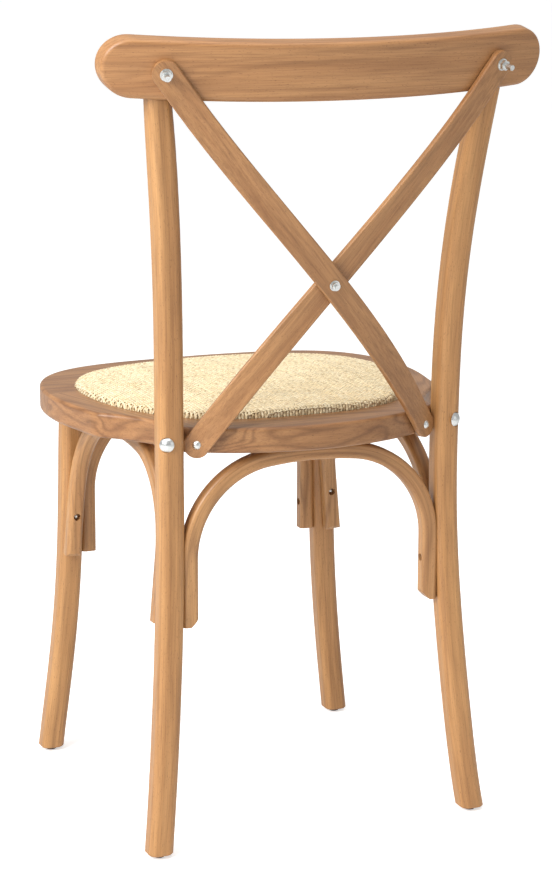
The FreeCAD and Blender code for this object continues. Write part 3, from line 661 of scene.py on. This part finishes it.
def weave_tree(material):
    """Node tree that turns strand lines into flat oval strands."""
    tree = bpy.data.node_groups.new("rattan_strands", "GeometryNodeTree")
    face = tree.interface
    face.new_socket("Geometry", in_out="INPUT", socket_type="NodeSocketGeometry")
    for label in ("Strand Width", "Strand Thickness"):
        socket = face.new_socket(label, in_out="INPUT", socket_type="NodeSocketFloat")
        socket.subtype = "DISTANCE"
    face.new_socket("Geometry", in_out="OUTPUT", socket_type="NodeSocketGeometry")
    entry = add(tree, "NodeGroupInput")
    curves = add(tree, "GeometryNodeMeshToCurve")
    join(tree, entry.outputs["Geometry"], curves.inputs["Mesh"])
    facing = add(tree, "GeometryNodeInputNamedAttribute", {"Name": FACING},
                 data_type="FLOAT_VECTOR")
    turned = add(tree, "GeometryNodeSetCurveNormal", mode="FREE")
    join(tree, curves.outputs["Curve"], turned.inputs["Curve"])
    join(tree, facing.outputs["Attribute"], turned.inputs["Normal"])
    section = add(tree, "GeometryNodeCurvePrimitiveCircle", {"Resolution": 6, "Radius": 0.5})
    size = add(tree, "ShaderNodeCombineXYZ")
    join(tree, entry.outputs["Strand Thickness"], size.inputs["X"])
    join(tree, entry.outputs["Strand Width"], size.inputs["Y"])
    oval = add(tree, "GeometryNodeTransform")
    join(tree, section.outputs["Curve"], oval.inputs["Geometry"])
    join(tree, size.outputs["Vector"], oval.inputs["Scale"])
    strands = add(tree, "GeometryNodeCurveToMesh", {"Fill Caps": True})
    join(tree, turned.outputs["Curve"], strands.inputs["Curve"])
    join(tree, oval.outputs["Geometry"], strands.inputs["Profile Curve"])
    smooth = add(tree, "GeometryNodeSetShadeSmooth")
    join(tree, strands.outputs["Mesh"], smooth.inputs["Geometry"])
    real = add(tree, "GeometryNodeRealizeInstances")
    join(tree, smooth.outputs["Geometry"], real.inputs["Geometry"])
    finish = add(tree, "GeometryNodeSetMaterial", {"Material": material})
    join(tree, real.outputs["Geometry"], finish.inputs["Geometry"])
    out = add(tree, "NodeGroupOutput")
    join(tree, finish.outputs["Geometry"], out.inputs["Geometry"])
    return tree


def set_input(modifier, label, value):
    """Set a node modifier's input by the identifier of its socket."""
    for item in modifier.node_group.interface.items_tree:
        if item.item_type == "SOCKET" and item.in_out == "INPUT" and item.name == label:
            modifier[item.identifier] = value
            return
    raise RuntimeError("no input named " + label)


def baked(carrier, name):
    """Plain mesh piece from an object with a node modifier, which is then removed."""
    graph = bpy.context.evaluated_depsgraph_get()
    mesh = bpy.data.meshes.new_from_object(carrier.evaluated_get(graph))
    mesh.name = name
    piece = bpy.data.objects.new(name, mesh)
    bpy.context.scene.collection.objects.link(piece)
    bpy.data.objects.remove(carrier)
    return piece


def strand_carrier(name, skin, axis, places, crossings, low_z, rng):
    """Mesh of strand lines with facing, tone and distance stored on their points."""
    seat = bpy.context.scene.chair_seat
    verts, edges, facing, tones, along = [], [], [], [], []
    for n, place in enumerate(places):
        line = skin_profile(skin, place, axis, low_z)
        if line is None:
            continue
        at, out, lifts, marks = strand_points(line, axis, crossings, seat.rise, n + axis)
        sway = rng.uniform(-SWAY, SWAY)
        ripple = np.array([rng.uniform(-RIPPLE, RIPPLE) for _ in marks])
        at = at + out * (lifts + ripple - seat.thickness * 0.5)[:, None]
        at[:, axis] += sway + ripple
        start = len(verts)
        verts += at.tolist()
        edges += [(start + i, start + i + 1) for i in range(len(at) - 1)]
        facing += out.tolist()
        tones += [rng.uniform(*STRAND_TONES)] * len(at)
        along += [(m, n, LAYER_GAP * axis) for m in marks]
    mesh = bpy.data.meshes.new(name)
    mesh.from_pydata(verts, edges, [])
    for label, kind, key, data in ((FACING, "FLOAT_VECTOR", "vector", facing),
                                   (TONE, "FLOAT", "value", tones),
                                   (STRAND, "FLOAT_VECTOR", "vector", along)):
        field = mesh.attributes.new(label, kind, "POINT")
        field.data.foreach_set(key, np.array(data, np.float32).ravel())
    carrier = bpy.data.objects.new(name, mesh)
    bpy.context.scene.collection.objects.link(carrier)
    return carrier


def sunk_skin(depth):
    """Backing under the weave: the cover's own skin, drawn inwards, whose dark colour is painted shade
    seen between the strands.
    """
    piece = copy_of("rattan_cover", "rattan_painted_shade_backing_skin", rattan_shadow())
    mesh = piece.data
    co = points_of(mesh)
    low, high = co.min(0), co.max(0)
    middle = (low + high) / 2
    shrink = 1.0 - 2.0 * depth / (high - low)
    co[:, :2] = middle[:2] + (co[:, :2] - middle[:2]) * shrink[:2]
    co[:, 2] = np.where(co[:, 2] > low[2] + SHADE_BACKING_FOOT, co[:, 2] - depth, co[:, 2])
    mesh.vertices.foreach_set("co", co.astype(np.float32).ravel())
    mesh.update()
    return piece


class CHAIR_OT_seat(ChairOperator):
    """Weave the rattan over the seat and finish the board and padding under it."""

    bl_idname = "chair.seat"
    bl_label = "Woven Seat"

    def execute(self, context):
        seat = context.scene.chair_seat
        rng = random.Random(seat.seed)
        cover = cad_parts["rattan_cover"]
        co = points_of(cover.data)
        faces = [tuple(p.vertices) for p in cover.data.polygons]
        skin = BVHTree.FromPolygons([Vector(c) for c in co], faces)
        low, high = co.min(0), co.max(0)
        grid = []
        for k in (0, 1):
            count = int((high[k] - low[k]) / seat.pitch)
            start = (high[k] + low[k] - (count - 1) * seat.pitch) / 2
            grid.append([start + i * seat.pitch for i in range(count)])
        tree = weave_tree(rattan())
        low_z = low[2] + FOOT_LIFT
        pieces = []
        for axis, name in ((0, "rattan_warp_strands"), (1, "rattan_weft_strands")):
            carrier = strand_carrier(name + "_lines", skin, axis, grid[axis], grid[1 - axis], low_z, rng)
            modifier = carrier.modifiers.new("strands", "NODES")
            modifier.node_group = tree
            set_input(modifier, "Strand Width", seat.width)
            set_input(modifier, "Strand Thickness", seat.thickness)
            pieces.append(baked(carrier, name))
        # sheet of painted shade under the gaps in the weave
        backing = sunk_skin(SHADE_BACKING_DEPTH)
        give(pieces[0], ["rattan_cover"])
        give(pieces[1], ["rattan_cover"])
        give(backing, ["rattan_cover"])
        padding = copy_of("seat_padding", "seat_fibre_padding", fibre_pad())
        give(padding, ["seat_padding"])
        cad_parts["seat_board"].data.materials.clear()
        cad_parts["seat_board"].data.materials.append(plywood())
        return {"FINISHED"}


# Metal
class CHAIR_OT_fasteners(ChairOperator):
    """Plate the bolts, nuts, washers and screws with zinc."""

    bl_idname = "chair.fasteners"
    bl_label = "Fasteners"

    def execute(self, context):
        plate = zinc()
        words = ("bolt", "nut", "washer", "screw")
        for name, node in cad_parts.items():
            if any(w in name for w in words):
                node.data.materials.clear()
                node.data.materials.append(plate)
        return {"FINISHED"}


class CHAIR_OT_glides(ChairOperator):
    """Give the four glides their dark plastic."""

    bl_idname = "chair.glides"
    bl_label = "Glides"

    def execute(self, context):
        plastic = glide_plastic()
        for name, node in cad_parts.items():
            if name.startswith("glide"):
                node.data.materials.clear()
                node.data.materials.append(plastic)
        return {"FINISHED"}


# Stage
def soft_light(name, power, size, place, aim):
    """Square area light that looks at a point."""
    lamp = bpy.data.lights.new(name, "AREA")
    lamp.energy = power
    lamp.shape = "SQUARE"
    lamp.size = size
    holder = bpy.data.objects.new(name, lamp)
    bpy.context.scene.collection.objects.link(holder)
    holder.location = place
    holder.rotation_mode = "QUATERNION"
    holder.rotation_quaternion = (aim - place).to_track_quat("-Z", "Y")
    return holder


class CHAIR_OT_stage(ChairOperator):
    """Make the floor, the lights and the camera."""

    bl_idname = "chair.stage"
    bl_label = "Stage"

    def execute(self, context):
        stage = context.scene.chair_stage
        material, tree, shader = new_tree("floor_paper")
        place = add(tree, "ShaderNodeTexCoord").outputs["Object"]
        cloud = noise(tree, place, scale=3.0, detail=2.0)
        dim = [c * 0.985 for c in stage.floor]
        colour = mix(tree, cloud, tuple(stage.floor), dim)
        join(tree, colour, shader.inputs["Base Color"])
        shader.inputs["Roughness"].default_value = 0.9
        shader.inputs["Emission Color"].default_value = (1.0, 1.0, 1.0, 1.0)
        seen = add(tree, "ShaderNodeLightPath").outputs["Is Camera Ray"]
        join(tree, math_node(tree, "MULTIPLY", seen, stage.glow),
             shader.inputs["Emission Strength"])
        half = FLOOR_HALF
        mesh = bpy.data.meshes.new("floor")
        corners = [(-half, -half, 0), (half, -half, 0), (half, half, 0), (-half, half, 0)]
        mesh.from_pydata(corners, [], [(0, 1, 2, 3)])
        mesh.materials.append(material)
        floor = bpy.data.objects.new("floor", mesh)
        context.scene.collection.objects.link(floor)

        world = bpy.data.worlds.new("studio")
        world.use_nodes = True
        tree = world.node_tree
        dim_sky = tree.nodes["Background"]
        dim_sky.inputs["Color"].default_value = (1.0, 1.0, 1.0, 1.0)
        dim_sky.inputs["Strength"].default_value = stage.sky
        seen_sky = add(tree, "ShaderNodeBackground",
                       {"Color": (1.0, 1.0, 1.0, 1.0), "Strength": 1.0})
        rays = add(tree, "ShaderNodeLightPath")
        both = add(tree, "ShaderNodeMixShader")
        join(tree, rays.outputs["Is Camera Ray"], both.inputs["Fac"])
        join(tree, dim_sky.outputs["Background"], both.inputs[1])
        join(tree, seen_sky.outputs["Background"], both.inputs[2])
        join(tree, both.outputs["Shader"], tree.nodes["World Output"].inputs["Surface"])
        context.scene.world = world
        context.scene.view_settings.view_transform = "Standard"

        aim = Vector(AIM)
        soft_light("key_light", stage.key, 1.6, Vector((2.4, 0.9, 2.1)), aim)
        soft_light("fill_light", stage.fill, 1.8, Vector((-1.6, 2.6, 1.2)), aim)
        soft_light("top_light", stage.top, 2.4, Vector((0.2, 0.4, 2.9)), aim)

        a, e = stage.azimuth, stage.elevation
        back = Vector((math.sin(a) * math.cos(e), -math.cos(a) * math.cos(e), math.sin(e)))
        lens = bpy.data.cameras.new("camera")
        lens.sensor_width = SENSOR
        lens.lens = stage.focal * SENSOR / FRAME_LONG_SIDE
        camera = bpy.data.objects.new("camera", lens)
        context.scene.collection.objects.link(camera)
        camera.location = stage.place
        camera.rotation_mode = "QUATERNION"
        level = (-back).to_track_quat("-Z", "Y")
        camera.rotation_quaternion = level @ Quaternion((0.0, 0.0, 1.0), stage.roll)
        context.scene.camera = camera
        return {"FINISHED"}


STEPS = (CHAIR_OT_posts, CHAIR_OT_arches, CHAIR_OT_back, CHAIR_OT_rim, CHAIR_OT_seat,
         CHAIR_OT_fasteners, CHAIR_OT_glides, CHAIR_OT_stage)


class CHAIR_PT_panel(bpy.types.Panel):
    """Lists the chair's steps and settings."""

    bl_idname = "CHAIR_PT_panel"
    bl_label = "Cross Back Chair"
    bl_space_type = "VIEW_3D"
    bl_region_type = "UI"
    bl_category = "Chair"

    def draw(self, context):
        for step in STEPS:
            self.layout.operator(step.bl_idname)
        for group, keys in SETTINGS.items():
            box = self.layout.box()
            for key in group_keys(keys):
                box.prop(getattr(context.scene, group), key)


SETTINGS = {"chair_wood": CHAIR_PG_wood, "chair_seat": CHAIR_PG_seat,
            "chair_metal": CHAIR_PG_metal, "chair_stage": CHAIR_PG_stage}
CLASSES = (*SETTINGS.values(), *STEPS, CHAIR_PT_panel)


def group_keys(group):
    return list(group.__annotations__)


def register():
    for item in CLASSES:
        bpy.utils.register_class(item)
    for name, group in SETTINGS.items():
        setattr(bpy.types.Scene, name, PointerProperty(type=group))


def unregister():
    for name in SETTINGS:
        delattr(bpy.types.Scene, name)
    for item in reversed(CLASSES):
        bpy.utils.unregister_class(item)


def main():
    register()
    for step in STEPS:
        area, action = step.bl_idname.split(".")
        getattr(getattr(bpy.ops, area), action)()


if __name__ == "__main__":
    main()
